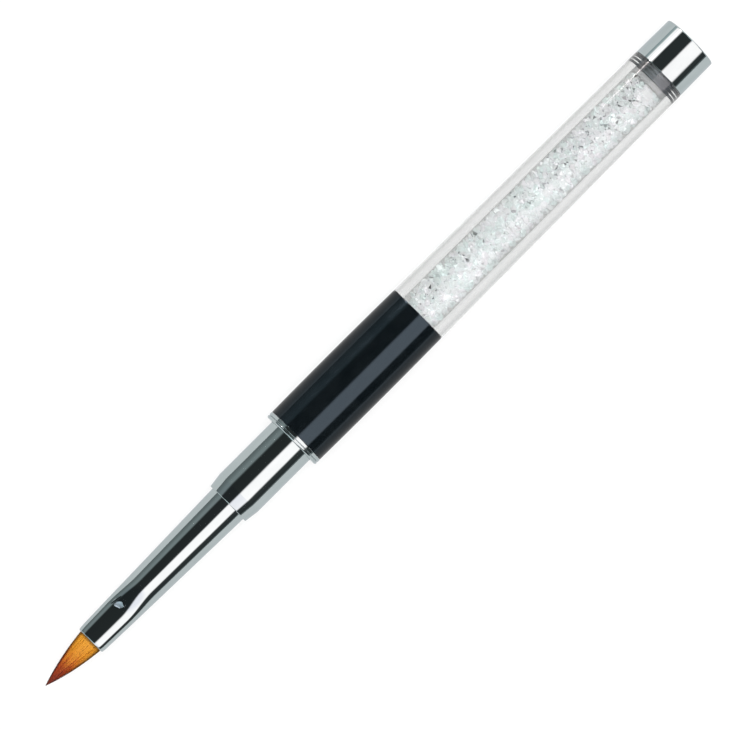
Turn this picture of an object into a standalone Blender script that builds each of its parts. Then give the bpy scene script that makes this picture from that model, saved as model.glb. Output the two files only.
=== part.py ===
"""Acrylic nail brush with a stone-filled clear handle, lying on its side.

Units are metres. The brush lies along X with its hair tip at -X and its end cap at +X. The floor is
z = 0, under the fattest place of the grip sleeve, and the axis of every turned piece runs at AXIS_Z.
Turned outlines are lists of (station, radius), where a station is the distance from the hair tip.
"""

import math
import random

import bmesh
import bpy
from mathutils import Matrix, Vector

MM = 0.001

# Stations along the axis, from the hair tip.
LENGTH = 115.2 * MM
MOUTH = 8.0 * MM
CRIMP_END = 12.8 * MM
CRIMP_BLEND = 5.0 * MM
DIMPLE = 13.6 * MM
COLLAR_FRONT = 32.45 * MM
LEAD_IN = 1.95 * MM
RING_FRONT = 43.7 * MM
RING_SEAT = 44.0 * MM
RING_REAR = 44.6 * MM
SLEEVE_REAR = 66.3 * MM
TUBE_REAR = 109.45 * MM

# Outer radii.
MOUTH_R = 2.09 * MM
FERRULE_MID = 13.9 * MM
FERRULE_MID_R = 2.27 * MM
FERRULE_REAR_R = 2.74 * MM
COLLAR_LIP_R = 3.12 * MM
COLLAR_R = 3.39 * MM
RING_R = 4.30 * MM
SLEEVE_END_R = 4.27 * MM
SLEEVE_BULGE = 0.065 * MM
TUBE_FRONT_R = 4.27 * MM
TUBE_REAR_R = 3.95 * MM
CAP_FRONT_R = 3.93 * MM
CAP_REAR_R = 3.87 * MM
CAP_EDGE = 0.2 * MM

# Walls, bores and inner lengths.
FERRULE_WALL = 0.25 * MM
FERRULE_REAR = 41.5 * MM
CRIMP_DEPTH = 0.74
CRIMP_SQUARENESS = 2.5
SPIGOT_R = 3.15 * MM
SPIGOT_REAR = 54.0 * MM
NOSE_FRONT = 55.6 * MM
NOSE_R = 3.42 * MM
BORE_R = 2.75 * MM
PLUG_REAR = 62.0 * MM
STONES_REAR = 107.2 * MM
END_PLUG_FRONT = 108.0 * MM
STUD_R = 1.9 * MM
STUD_REAR = 112.8 * MM
GAP = 0.05 * MM

# Tuft and its root.
TUFT_R = 1.78 * MM
TUFT_FLATNESS = 0.76
TUFT_PIVOT = 6.65 * MM
ROOT_REAR = 21.5 * MM
THREAD_FRONT = 18.3 * MM
THREAD_REAR = 20.3 * MM
THREAD_R = 0.15 * MM
GLUE_REAR = 25.0 * MM

SIDES = 36
POLYGON = 1.0 / math.cos(math.pi / SIDES)
AXIS_Z = SLEEVE_END_R + SLEEVE_BULGE
MID = LENGTH / 2.0


def clear_scene():
    for obj in list(bpy.data.objects):
        bpy.data.objects.remove(obj, do_unlink=True)


def material(name, colour, roughness, metallic=0.0, transmission=0.0, ior=1.49):
    made = bpy.data.materials.new(name)
    made.use_nodes = True
    shader = made.node_tree.nodes["Principled BSDF"]
    shader.inputs["Base Color"].default_value = (*colour, 1.0)
    shader.inputs["Roughness"].default_value = roughness
    shader.inputs["Metallic"].default_value = metallic
    shader.inputs["Transmission Weight"].default_value = transmission
    shader.inputs["IOR"].default_value = ior
    return made


def between(low, high, share):
    return low + (high - low) * share


def smoothstep(share):
    share = min(max(share, 0.0), 1.0)
    return share * share * (3.0 - 2.0 * share)


def arc(centre_x, centre_r, radius, start_deg, end_deg, steps):
    """Points on an arc in the outline's plane; 0 degrees points to the tail, 90 away from the axis."""
    angles = [math.radians(between(start_deg, end_deg, i / steps)) for i in range(steps + 1)]
    return [(centre_x + radius * math.cos(a), centre_r + radius * math.sin(a)) for a in angles]


def curve(radius_at, start, end, steps):
    """Points along an outer surface whose radius is a function of the station."""
    stations = [between(start, end, i / steps) for i in range(steps + 1)]
    return [(x, radius_at(x)) for x in stations]


def finish(name, mesh_builder, colour_material, parent):
    """Turns a bmesh into a smooth-shaded object under the brush's axis empty."""
    bmesh.ops.recalc_face_normals(mesh_builder, faces=mesh_builder.faces)
    mesh = bpy.data.meshes.new(name)
    mesh_builder.to_mesh(mesh)
    mesh_builder.free()
    mesh.materials.append(colour_material)
    mesh.shade_smooth()
    mesh.set_sharp_from_angle(angle=math.radians(30))
    obj = bpy.data.objects.new(name, mesh)
    bpy.context.scene.collection.objects.link(obj)
    obj.parent = parent
    return obj


def spun(outline, closed):
    """A bmesh of the outline turned round the X axis, with flat sides at the top and the bottom."""
    shape = bmesh.new()
    start = math.pi / SIDES
    points = [
        shape.verts.new((x, r * POLYGON * math.sin(start), r * POLYGON * math.cos(start)))
        for x, r in outline
    ]
    edges = [shape.edges.new(pair) for pair in zip(points, points[1:])]
    if closed:
        edges.append(shape.edges.new((points[-1], points[0])))
    bmesh.ops.spin(
        shape,
        geom=points + edges,
        cent=(0.0, 0.0, 0.0),
        axis=(1.0, 0.0, 0.0),
        angle=2.0 * math.pi,
        steps=SIDES,
        use_merge=True,
    )
    bmesh.ops.remove_doubles(shape, verts=shape.verts, dist=1e-7)
    return shape


def turned(name, outline, colour_material, parent, origin=0.0, reshape=None):
    """A turned piece. An outline that starts and ends on the axis is solid; any other is a ring."""
    solid = outline[0][1] == 0.0 and outline[-1][1] == 0.0
    shape = spun(outline, closed=not solid)
    for vert in shape.verts:
        if reshape:
            vert.co = reshape(vert.co)
        vert.co.x -= origin
    obj = finish(name, shape, colour_material, parent)
    obj.location.x = origin
    return obj


def crimp_share(station):
    """1 where the ferrule is pressed flat, 0 where it is round."""
    return 1.0 - smoothstep((station - CRIMP_END) / CRIMP_BLEND)


def crimped(point):
    """Moves a point of a round section onto the flattened section at its station."""
    share = crimp_share(point.x)
    radius = math.hypot(point.y, point.z)
    if share == 0.0 or radius == 0.0:
        return point
    side, up = point.y / radius, point.z / radius
    power = between(2.0, CRIMP_SQUARENESS, share)
    depth = between(1.0, CRIMP_DEPTH, share)
    reach = (abs(side) ** power + abs(up) ** power) ** (-1.0 / power)
    return Vector((point.x, side * reach * radius, up * reach * radius * depth))


def ferrule_radius(station):
    """The ferrule's outer radius: a straight taper with a faster flare just behind the mouth."""
    front = between(MOUTH_R, FERRULE_MID_R, (station - MOUTH) / (FERRULE_MID - MOUTH))
    share = (station - FERRULE_MID) / (COLLAR_FRONT - FERRULE_MID)
    rear = between(FERRULE_MID_R, FERRULE_REAR_R, min(share, 1.0))
    return front if station < FERRULE_MID else rear


def sleeve_radius(station):
    share = (station - RING_REAR) / (SLEEVE_REAR - RING_REAR)
    return SLEEVE_END_R + SLEEVE_BULGE * 4.0 * share * (1.0 - share)


def tube_radius(station):
    return between(TUBE_FRONT_R, TUBE_REAR_R, (station - SLEEVE_REAR) / (TUBE_REAR - SLEEVE_REAR))


def tuft_radius(station):
    """The tuft's half width: a convex outline that closes to a sharp point at the tip."""
    share = station / MOUTH
    return TUFT_R * share ** (0.80 - 0.25 * share)


def make_tuft(hair, parent):
    """The free hair. Its round base turns in place about the pivot, clear of the ferrule."""
    outline = [(0.0, 0.0)] + curve(tuft_radius, TUFT_PIVOT * 0.05, TUFT_PIVOT, 9)
    side_r = tuft_radius(TUFT_PIVOT)
    base_r = side_r * TUFT_FLATNESS
    for turn in (math.radians(22), math.radians(44), math.radians(66)):
        outline.append((TUFT_PIVOT + base_r * math.sin(turn), side_r * math.cos(turn)))
    outline.append((TUFT_PIVOT + base_r, 0.0))

    def flattened(point):
        return Vector((point.x, point.y, point.z * TUFT_FLATNESS))

    return turned("hair_tuft", outline, hair, parent, TUFT_PIVOT, flattened)


def inner_ferrule_radius(station):
    return ferrule_radius(station) - FERRULE_WALL


def make_root(hair, thread, glue, parent):
    """The bundle inside the ferrule, waisted where the thread is wound, and the resin behind it."""

    def bundle_radius(station):
        return inner_ferrule_radius(station) - GAP

    waist_r = bundle_radius(THREAD_FRONT) - 2.0 * THREAD_R - GAP
    root = [(MOUTH, 0.0)] + curve(bundle_radius, MOUTH, CRIMP_END, 1)
    root += curve(bundle_radius, CRIMP_END, CRIMP_END + CRIMP_BLEND, 4)[1:]
    root += [(THREAD_FRONT - GAP, bundle_radius(THREAD_FRONT))]
    root += [(THREAD_FRONT, waist_r), (THREAD_REAR, waist_r)]
    root += [(THREAD_REAR + GAP, bundle_radius(THREAD_REAR))]
    root += [(ROOT_REAR, bundle_radius(ROOT_REAR)), (ROOT_REAR, 0.0)]
    turned("hair_root", root, hair, parent, reshape=crimped)

    turns = 4
    pitch = (THREAD_REAR - THREAD_FRONT - 2.0 * GAP) / turns
    seat_r = waist_r + GAP
    coil = [(THREAD_FRONT + GAP, seat_r)]
    for turn in range(turns):
        middle = THREAD_FRONT + GAP + pitch * (turn + 0.5)
        coil += [(middle - pitch * 0.25, seat_r + 2.0 * THREAD_R - GAP)]
        coil += [(middle + pitch * 0.25, seat_r + 2.0 * THREAD_R - GAP)]
        coil += [(middle + pitch * 0.5, seat_r + THREAD_R)]
    coil[-1] = (THREAD_REAR - GAP, seat_r)
    turned("binding_thread", coil, thread, parent)

    front = ROOT_REAR + GAP
    plug = [(front, 0.0), (front, bundle_radius(front))]
    plug += [(GLUE_REAR - 0.6 * MM, bundle_radius(GLUE_REAR)), (GLUE_REAR, 1.5 * MM)]
    plug += [(GLUE_REAR - 0.5 * MM, 0.0)]
    turned("root_glue", plug, glue, parent)


def make_ferrule(plated, parent):
    """Drawn tube with a rolled mouth, a flattened front and a staking dimple on the flat."""
    roll_r = FERRULE_WALL / 2.0
    outline = arc(MOUTH + roll_r, MOUTH_R - roll_r, roll_r, 250, 90, 3)
    outline += curve(ferrule_radius, MOUTH + 0.6 * MM, CRIMP_END, 2)
    outline += curve(ferrule_radius, CRIMP_END, CRIMP_END + CRIMP_BLEND, 4)[1:]
    outline += [(COLLAR_FRONT, FERRULE_REAR_R), (FERRULE_REAR, FERRULE_REAR_R)]
    outline += [(FERRULE_REAR, inner_ferrule_radius(FERRULE_REAR))]
    outline += [(COLLAR_FRONT, inner_ferrule_radius(COLLAR_FRONT))]
    outline += curve(inner_ferrule_radius, CRIMP_END + CRIMP_BLEND, CRIMP_END, 4)
    outline += [(MOUTH + 0.6 * MM, inner_ferrule_radius(MOUTH + 0.6 * MM))]
    ferrule = turned("ferrule", outline, plated, parent, reshape=crimped)

    punch = bmesh.new()
    bmesh.ops.create_icosphere(punch, subdivisions=2, radius=1.0 * MM)
    flat_z = FERRULE_MID_R * between(1.0, CRIMP_DEPTH, crimp_share(DIMPLE))
    centre = Vector((DIMPLE, 0.45 * MM, flat_z + 0.88 * MM))
    bmesh.ops.transform(punch, matrix=Matrix.Translation(centre), verts=punch.verts)
    cutter = finish("dimple_punch", punch, plated, parent)
    cutter.hide_render = True
    cutter.display_type = "WIRE"
    dent = ferrule.modifiers.new("dimple", "BOOLEAN")
    dent.operation = "DIFFERENCE"
    dent.object = cutter


def make_collar(plated, parent):
    """Turned seat with a lead-in, a shoulder for the ring and a spigot inside the sleeve."""
    bore_r = FERRULE_REAR_R + GAP
    outline = arc(COLLAR_FRONT + 0.15 * MM, COLLAR_LIP_R - 0.15 * MM, 0.15 * MM, 180, 110, 2)
    outline += [(COLLAR_FRONT + LEAD_IN, COLLAR_R), (RING_SEAT - GAP, COLLAR_R)]
    outline += [(RING_SEAT - GAP, SPIGOT_R), (SPIGOT_REAR - 0.3 * MM, SPIGOT_R)]
    outline += [(SPIGOT_REAR, SPIGOT_R - 0.2 * MM), (SPIGOT_REAR, bore_r), (COLLAR_FRONT, bore_r)]
    turned("collar", outline, plated, parent)


def make_core(metal, parent):
    """Stepped core: its front step is staked in the ferrule, its rear step fills the spigot."""
    step_r = inner_ferrule_radius(FERRULE_REAR) - GAP
    body_r = FERRULE_REAR_R
    shoulder = FERRULE_REAR + GAP
    outline = [(36.0 * MM, 0.0), (36.0 * MM, step_r - 0.3 * MM), (36.3 * MM, step_r)]
    outline += [(shoulder, step_r), (shoulder, body_r)]
    outline += [(SPIGOT_REAR - 0.3 * MM, body_r), (SPIGOT_REAR, body_r - 0.3 * MM), (SPIGOT_REAR, 0.0)]
    turned("ferrule_core", outline, metal, parent)


def make_ring(plated, parent):
    """Bright ring with a flat front face, a shallow groove and a round bead behind it.

    The collar's shoulder sits in a step in the ring's bore.
    """
    bead_r = 0.25 * MM
    lip_end = RING_FRONT + 0.25 * MM
    outline = [(RING_SEAT, SPIGOT_R + GAP), (RING_SEAT, COLLAR_R + GAP)]
    outline += [(RING_FRONT, COLLAR_R + GAP), (RING_FRONT, RING_R - 0.08 * MM)]
    outline += [(RING_FRONT + 0.08 * MM, RING_R), (lip_end, RING_R)]
    outline += [(lip_end + 0.08 * MM, RING_R - 0.12 * MM)]
    outline += arc(RING_REAR - GAP - bead_r, RING_R - bead_r, bead_r, 150, 0, 4)
    outline += [(RING_REAR - GAP, SPIGOT_R + GAP)]
    turned("flange_ring", outline, plated, parent)


def make_sleeve(black, parent):
    """Gloss sleeve, slightly barrelled, bored for the spigot in front and the tube's nose behind."""
    edge = 0.06 * MM
    step = SPIGOT_REAR + GAP
    outline = [(RING_REAR, SPIGOT_R + GAP), (RING_REAR, SLEEVE_END_R - edge)]
    outline += curve(sleeve_radius, RING_REAR + edge, SLEEVE_REAR - edge, 8)
    outline += [(SLEEVE_REAR, SLEEVE_END_R - edge), (SLEEVE_REAR, NOSE_R + GAP)]
    outline += [(step, NOSE_R + GAP), (step, SPIGOT_R + GAP)]
    turned("grip_sleeve", outline, black, parent)


def make_sleeve_adhesive(glue, parent):
    """The set adhesive that fills the sleeve between the spigot's end and the tube's nose."""
    front = SPIGOT_REAR + 2.0 * GAP
    rear = NOSE_FRONT - GAP
    outline = [(front, 0.0), (front, NOSE_R), (rear, NOSE_R), (rear, 0.0)]
    turned("sleeve_adhesive", outline, glue, parent)


def make_tube(clear, parent):
    """Thick-walled clear tube: a turned-down nose in the sleeve, then a straight taper."""
    shoulder = SLEEVE_REAR + GAP
    edge = 0.08 * MM
    outline = [(NOSE_FRONT, BORE_R), (NOSE_FRONT, NOSE_R), (shoulder, NOSE_R)]
    outline += [(shoulder, TUBE_FRONT_R - edge), (shoulder + edge, TUBE_FRONT_R)]
    outline += [(TUBE_REAR - edge, TUBE_REAR_R), (TUBE_REAR, TUBE_REAR_R - edge)]
    outline += [(TUBE_REAR, BORE_R)]
    turned("acrylic_tube", outline, clear, parent)


def make_front_plug(black, parent):
    plug_r = BORE_R - GAP
    front = NOSE_FRONT + GAP
    outline = [(front, 0.0), (front, plug_r - 0.25 * MM), (front + 0.25 * MM, plug_r)]
    outline += [(PLUG_REAR - 0.25 * MM, plug_r), (PLUG_REAR, plug_r - 0.25 * MM), (PLUG_REAR, 0.0)]
    turned("tube_front_plug", outline, black, parent)


def make_stones(stone, parent):
    """The packed stones as one lumpy faceted body, from the front plug to the adhesive."""
    sides, rings = 14, 38
    dice = random.Random(7)
    front, rear = PLUG_REAR + GAP, STONES_REAR
    shape = bmesh.new()
    loops = []
    for ring in range(rings + 1):
        station = between(front, rear, ring / rings)
        loop = []
        for side in range(sides):
            angle = 2.0 * math.pi * (side + 0.5 * (ring % 2)) / sides
            radius = dice.uniform(0.90, 0.985) * BORE_R
            shift = dice.uniform(-0.2, 0.2) * MM if 0 < ring < rings else 0.0
            place = (station + shift, radius * math.sin(angle), radius * math.cos(angle))
            loop.append(shape.verts.new(place))
        loops.append(loop)
    edges = []
    for loop in loops:
        edges.append([shape.edges.new((loop[i], loop[(i + 1) % sides])) for i in range(sides)])
    for before, after in zip(edges, edges[1:]):
        bmesh.ops.bridge_loops(shape, edges=before + after)
    bmesh.ops.contextual_create(shape, geom=edges[0])
    bmesh.ops.contextual_create(shape, geom=edges[-1])
    bmesh.ops.triangulate(shape, faces=shape.faces)
    obj = finish("crystal_fill", shape, stone, parent)
    obj.data.shade_flat()


def make_plug_adhesive(glue, parent):
    front = STONES_REAR + GAP
    rear = END_PLUG_FRONT - GAP
    outline = [(front, 0.0), (front, BORE_R - GAP), (rear, BORE_R - GAP), (rear, 0.0)]
    turned("plug_adhesive", outline, glue, parent)


def make_end_plug(metal, parent):
    """Ribbed plug in the bore, with a stud that the end cap is fixed on."""
    ribs = 3
    groove = 0.15 * MM
    rib_r = BORE_R - GAP
    rear = TUBE_REAR
    pitch = (rear - END_PLUG_FRONT) / ribs
    outline = [(END_PLUG_FRONT, 0.0)]
    for rib in range(ribs):
        start = END_PLUG_FRONT + pitch * rib
        outline += [(start, rib_r - groove), (start + pitch * 0.2, rib_r)]
        outline += [(start + pitch * 0.7, rib_r), (start + pitch * 0.9, rib_r - groove)]
    outline += [(rear, rib_r - groove), (rear, STUD_R)]
    outline += [(STUD_REAR - 0.2 * MM, STUD_R), (STUD_REAR, STUD_R - 0.2 * MM), (STUD_REAR, 0.0)]
    turned("end_plug", outline, metal, parent)


def make_cap(plated, parent):
    """Solid cap with a blind bore for the stud, a rounded rear edge and a flat end."""
    front = TUBE_REAR + GAP
    edge = 0.08 * MM
    outline = [(front, STUD_R + GAP), (front, CAP_FRONT_R - edge), (front + edge, CAP_FRONT_R)]
    outline += arc(LENGTH - CAP_EDGE, CAP_REAR_R - CAP_EDGE, CAP_EDGE, 88, 0, 5)
    outline += [(LENGTH, 0.0)]
    bottom = STUD_REAR + GAP
    inside = [(bottom, 0.0), (bottom, STUD_R + GAP - 0.2 * MM), (bottom - 0.2 * MM, STUD_R + GAP)]
    turned("end_cap", inside + outline, plated, parent)


def build():
    clear_scene()
    axis = bpy.data.objects.new("brush_axis", None)
    bpy.context.scene.collection.objects.link(axis)
    axis.location = (-MID, 0.0, AXIS_Z)

    plated = material("bright_plate", (0.78, 0.80, 0.82), 0.08, metallic=1.0)
    dark_metal = material("dull_plate", (0.45, 0.45, 0.47), 0.25, metallic=1.0)
    core_metal = material("core_alloy", (0.70, 0.70, 0.68), 0.35, metallic=1.0)
    black = material("gloss_black", (0.010, 0.010, 0.012), 0.08)
    clear = material("clear_acrylic", (0.96, 0.97, 0.98), 0.03, transmission=1.0)
    stone = material("cut_stones", (0.85, 0.88, 0.88), 0.05, transmission=0.5, ior=1.6)
    glue = material("set_resin", (0.80, 0.78, 0.70), 0.25, transmission=0.4, ior=1.5)
    hair = material("sable_hair", (0.50, 0.16, 0.03), 0.45)
    thread = material("binding_thread", (0.55, 0.48, 0.36), 0.8)

    make_tuft(hair, axis)
    make_root(hair, thread, glue, axis)
    make_ferrule(plated, axis)
    make_collar(plated, axis)
    make_core(core_metal, axis)
    make_ring(plated, axis)
    make_sleeve(black, axis)
    make_sleeve_adhesive(glue, axis)
    make_tube(clear, axis)
    make_front_plug(black, axis)
    make_stones(stone, axis)
    make_plug_adhesive(glue, axis)
    make_end_plug(dark_metal, axis)
    make_cap(plated, axis)


build()
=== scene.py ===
"""Looks of the acrylic nail brush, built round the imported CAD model.

Metres, +Z up. The brush lies along X with its hair tip at -X and its end cap at +X. Every turned
piece is an outline of (x, radius) points spun round the brush's axis, which runs at height AXIS_Z.
"""

import math

import bmesh
import bpy
import numpy as np
from mathutils import Matrix, Vector


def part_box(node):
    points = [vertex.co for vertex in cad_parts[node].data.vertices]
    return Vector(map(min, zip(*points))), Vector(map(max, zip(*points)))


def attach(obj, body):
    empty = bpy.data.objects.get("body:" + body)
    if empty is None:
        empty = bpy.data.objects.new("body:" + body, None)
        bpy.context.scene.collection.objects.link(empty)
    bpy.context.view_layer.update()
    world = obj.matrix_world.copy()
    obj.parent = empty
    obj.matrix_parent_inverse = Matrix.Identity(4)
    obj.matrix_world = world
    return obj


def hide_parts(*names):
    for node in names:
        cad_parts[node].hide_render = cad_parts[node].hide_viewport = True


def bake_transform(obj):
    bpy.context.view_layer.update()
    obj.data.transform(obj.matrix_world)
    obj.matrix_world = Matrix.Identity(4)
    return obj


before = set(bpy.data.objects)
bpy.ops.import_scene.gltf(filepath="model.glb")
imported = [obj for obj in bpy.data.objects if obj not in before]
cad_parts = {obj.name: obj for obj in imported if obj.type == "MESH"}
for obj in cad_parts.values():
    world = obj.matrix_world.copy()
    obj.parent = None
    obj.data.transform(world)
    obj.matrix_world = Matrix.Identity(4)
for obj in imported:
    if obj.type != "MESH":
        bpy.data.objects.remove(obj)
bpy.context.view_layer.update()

MM = 0.001
# Sides of every turned piece.
SEGMENTS = 256
HANDLE = "handle"


def span(node):
    """Where a CAD node starts and ends along the axis, and its largest radius."""
    low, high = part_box(node)
    return low[0], high[0], (high[1] - low[1]) / 2.0


# Places and radii of the CAD nodes.
TIP_X, _, _ = span("hair_tuft")
MOUTH_X, FERRULE_REAR_X, FERRULE_REAR_R = span("ferrule")
COLLAR_X, SPIGOT_REAR_X, COLLAR_R = span("collar")
RING_X, RING_REAR_X, RING_R = span("flange_ring")
SLEEVE_X, SLEEVE_REAR_X, SLEEVE_R = span("grip_sleeve")
NOSE_X, TUBE_REAR_X, TUBE_R = span("acrylic_tube")
STONES_X, STONES_REAR_X, _ = span("crystal_fill")
GLUE_X, GLUE_REAR_X, GLUE_R = span("plug_adhesive")
PLUG_X, STUD_REAR_X, _ = span("end_plug")
CAP_X, END_X, CAP_R = span("end_cap")
AXIS_Z = sum(corner[2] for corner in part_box("grip_sleeve")) / 2.0

# Sizes that the boxes don't give.
MOUTH_R = 2.09 * MM
FERRULE_WALL = 0.25 * MM
FERRULE_MID = 5.9 * MM
FERRULE_MID_R = 2.27 * MM
CRIMP_LENGTH = 4.8 * MM
CRIMP_BLEND = 5.0 * MM
CRIMP_DEPTH = 0.74
CRIMP_SQUARENESS = 2.5
DIMPLE_X = MOUTH_X + 5.73 * MM
DIMPLE_Y = 0.45 * MM
DIMPLE_R = 0.57 * MM
DIMPLE_DEPTH = 0.10 * MM
FOLD_HEIGHT = 0.024 * MM
# Folds beside the dimple: share of the height, start and end, in millimetres from its middle.
FOLDS = [(2.0, (-0.6, 0.92), (0.9, 0.74)), (0.8, (0.0, -0.72), (0.9, -0.38))]
CRIMP_TURN = math.radians(8.3)
SPIGOT_R = 3.15 * MM
SLEEVE_BORE_R = 3.2 * MM
CLEARANCE = 0.05 * MM
LIP_R = 3.12 * MM
LEAD_IN = 1.95 * MM
SLEEVE_END_R = 4.27 * MM
TUBE_REAR_R = 3.95 * MM
CAP_REAR_R = 3.87 * MM
NOSE_R = 3.42 * MM
BORE_R = 2.75 * MM
STUD_R = 1.9 * MM
HAIR_R = 1.71 * MM
HAIR_LENGTH = MOUTH_X - TIP_X
TIP_FLATNESS = 0.88
# How far the hair of the tuft runs into the ferrule.
ROOT_DEPTH = 0.9 * MM
# Half the angle of a corner that is too flat to be rounded.
NEARLY_STRAIGHT = math.radians(89.5)


# ---------------------------------------------------------------- camera


def make_camera():
    """Looks down from above the ferrule's mouth, rolled so that the brush runs up to the right."""
    height = 1100 * MM
    roll = math.radians(44.96)
    view_width = 92.17 * MM
    target = Vector((TIP_X + 57.10 * MM, 0.155 * MM, AXIS_Z))
    place = Vector((MOUTH_X, 0.0, AXIS_Z + height))
    ahead = (target - place).normalized()
    along = (Vector((1, 0, 0)) - ahead * ahead.x).normalized()
    across = ahead.cross(along) * -1.0
    right = along * math.cos(roll) - across * math.sin(roll)
    up = along * math.sin(roll) + across * math.cos(roll)
    turn = Matrix((right, up, -ahead)).transposed().to_4x4()

    camera = bpy.data.objects.new("camera", bpy.data.cameras.new("camera"))
    bpy.context.scene.collection.objects.link(camera)
    sensor = 36.0
    camera.data.sensor_width = sensor
    camera.data.lens = sensor * (target - place).length / view_width
    camera.data.clip_start, camera.data.clip_end = 0.05, 20.0
    camera.matrix_world = Matrix.Translation(place) @ turn
    bpy.context.scene.camera = camera


# ---------------------------------------------------------------- materials


class Shader:
    """A material with one Principled node, and short ways to feed it from texture nodes."""

    def __init__(self, name, **settings):
        self.material = bpy.data.materials.new(name)
        self.material.use_nodes = True
        self.nodes = self.material.node_tree.nodes
        self.links = self.material.node_tree.links
        self.main = self.nodes["Principled BSDF"]
        for socket, value in settings.items():
            self.main.inputs[socket.replace("_", " ")].default_value = value

    def add(self, kind, **inputs):
        """A node whose inputs, by name, are values or the outputs of other nodes."""
        node = self.nodes.new(kind)
        for socket, value in inputs.items():
            socket = socket.replace("_", " ")
            if isinstance(value, bpy.types.NodeSocket):
                self.links.new(value, node.inputs[socket])
            else:
                node.inputs[socket].default_value = value
        return node

    def feed(self, socket, output):
        """Gives an output to the Principled node."""
        self.links.new(output, self.main.inputs[socket])

    def noise(self, size, detail=3.0, stretch=(1.0, 1.0, 1.0), roughness=0.5):
        """Noise whose grains are about size metres across, drawn out by stretch along X, Y and Z."""
        place = self.add("ShaderNodeTexCoord")
        scale = tuple(1.0 / s for s in stretch)
        mapped = self.add("ShaderNodeMapping", Vector=place.outputs["Object"], Scale=scale)
        noise = self.add(
            "ShaderNodeTexNoise",
            Vector=mapped.outputs["Vector"],
            Scale=1.0 / size,
            Detail=detail,
            Roughness=roughness,
        )
        return noise.outputs["Fac"]

    def attribute(self, name):
        """A number stored on the mesh."""
        node = self.add("ShaderNodeAttribute")
        node.attribute_name = name
        return node.outputs["Fac"]

    def ramp(self, factor, stops):
        """A colour ramp from (position, colour) stops."""
        node = self.add("ShaderNodeValToRGB", Fac=factor)
        elements = node.color_ramp.elements
        while len(elements) < len(stops):
            elements.new(0.5)
        for element, (position, colour) in zip(elements, stops):
            element.position = position
            element.color = (*colour, 1.0)
        return node.outputs["Color"]

    def grey_ramp(self, factor, stops):
        """A ramp from (position, grey) stops."""
        return self.ramp(factor, [(position, (grey, grey, grey)) for position, grey in stops])

    def multiplied(self, first, second):
        """The product of two colours."""
        node = self.add("ShaderNodeMixRGB", Color1=first, Color2=second, Fac=1.0)
        node.blend_type = "MULTIPLY"
        return node.outputs["Color"]

    def scaled(self, value, low, high, from_low=0.0, from_high=1.0):
        """A number that runs from low to high while value runs from from_low to from_high."""
        node = self.add(
            "ShaderNodeMapRange",
            Value=value,
            From_Min=from_low,
            From_Max=from_high,
            To_Min=low,
            To_Max=high,
        )
        return node.outputs["Result"]

    def maths(self, operation, first, second):
        node = self.nodes.new("ShaderNodeMath")
        node.operation = operation
        for socket, value in zip(node.inputs, (first, second)):
            if isinstance(value, bpy.types.NodeSocket):
                self.links.new(value, socket)
            else:
                socket.default_value = value
        return node.outputs["Value"]

    def end_rings(self, pitch):
        """Rings round the brush's axis, only where a surface faces along it."""
        place = self.add("ShaderNodeTexCoord").outputs["Object"]
        centred = self.add("ShaderNodeMapping", Vector=place, Location=(0.0, 0.0, -AXIS_Z))
        # At scale 1 the texture's rings are pi / 10 metres apart.
        scale = math.pi / 10.0 / pitch
        rings = self.add("ShaderNodeTexWave", Vector=centred.outputs["Vector"], Scale=scale, Distortion=2.0)
        rings.wave_type, rings.rings_direction = "RINGS", "X"
        facing = self.add("ShaderNodeSeparateXYZ", Vector=self.add("ShaderNodeNewGeometry").outputs["Normal"])
        flat = self.scaled(self.maths("ABSOLUTE", facing.outputs["X"], 0.0), 0.0, 1.0, 0.8, 0.95)
        return self.maths("MULTIPLY", rings.outputs["Fac"], flat)

    def bump(self, height, depth):
        """Roughens the surface by up to depth metres where height runs from 0 to 1."""
        node = self.add("ShaderNodeBump", Height=height, Distance=depth, Strength=1.0)
        self.feed("Normal", node.outputs["Normal"])


def bright_plate():
    """Mirror plating: fine polishing lines, faint ripple, a few smudges and turned end faces."""
    made = Shader("bright_plate", Metallic=1.0, Specular_Tint=(0.78, 0.80, 0.82, 1.0))
    smudge = made.noise(2.4 * MM, detail=5.0, stretch=(2.0, 1.0, 1.0), roughness=0.6)
    lines = made.noise(0.09 * MM, detail=2.0, stretch=(14.0, 1.0, 1.0))
    plate = made.ramp(smudge, [(0.3, (0.385, 0.435, 0.440)), (0.7, (0.420, 0.470, 0.475))])
    frost_and_painted_light = made.attribute("frost_and_painted_light")
    # Where it is frosted the plating is also painted lighter and bluer: painted light, besides the real matt
    # finish.
    matt_and_painted_light = made.add("ShaderNodeMixRGB", Fac=frost_and_painted_light, Color1=plate, Color2=(0.44, 0.54, 0.61, 1.0))
    made.feed("Base Color", matt_and_painted_light.outputs["Color"])
    worn = made.scaled(made.maths("MULTIPLY", smudge, lines), 0.015, 0.09, 0.1, 0.5)
    made.feed("Roughness", made.maths("ADD", worn, made.maths("MULTIPLY", frost_and_painted_light, 0.42)))
    ripple = made.noise(0.9 * MM, detail=3.0, stretch=(4.0, 1.0, 1.0))
    pits = made.noise(0.11 * MM, detail=2.0)
    height = made.maths("ADD", made.maths("MULTIPLY", ripple, 0.25), made.maths("MULTIPLY", pits, frost_and_painted_light))
    turned_face = made.maths("MULTIPLY", made.end_rings(0.13 * MM), 0.09)
    made.bump(made.maths("ADD", height, turned_face), 0.014 * MM)
    return made.material


def dull_plate():
    """Dark metal with fine turning lines round it."""
    made = Shader("dull_plate", Metallic=1.0)
    grain = made.noise(0.06 * MM, detail=2.0, stretch=(1.0, 12.0, 12.0))
    made.feed("Base Color", made.ramp(grain, [(0.3, (0.074, 0.082, 0.089)), (0.7, (0.155, 0.167, 0.177))]))
    made.feed("Roughness", made.scaled(grain, 0.16, 0.30))
    made.bump(grain, 0.004 * MM)
    return made.material


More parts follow.
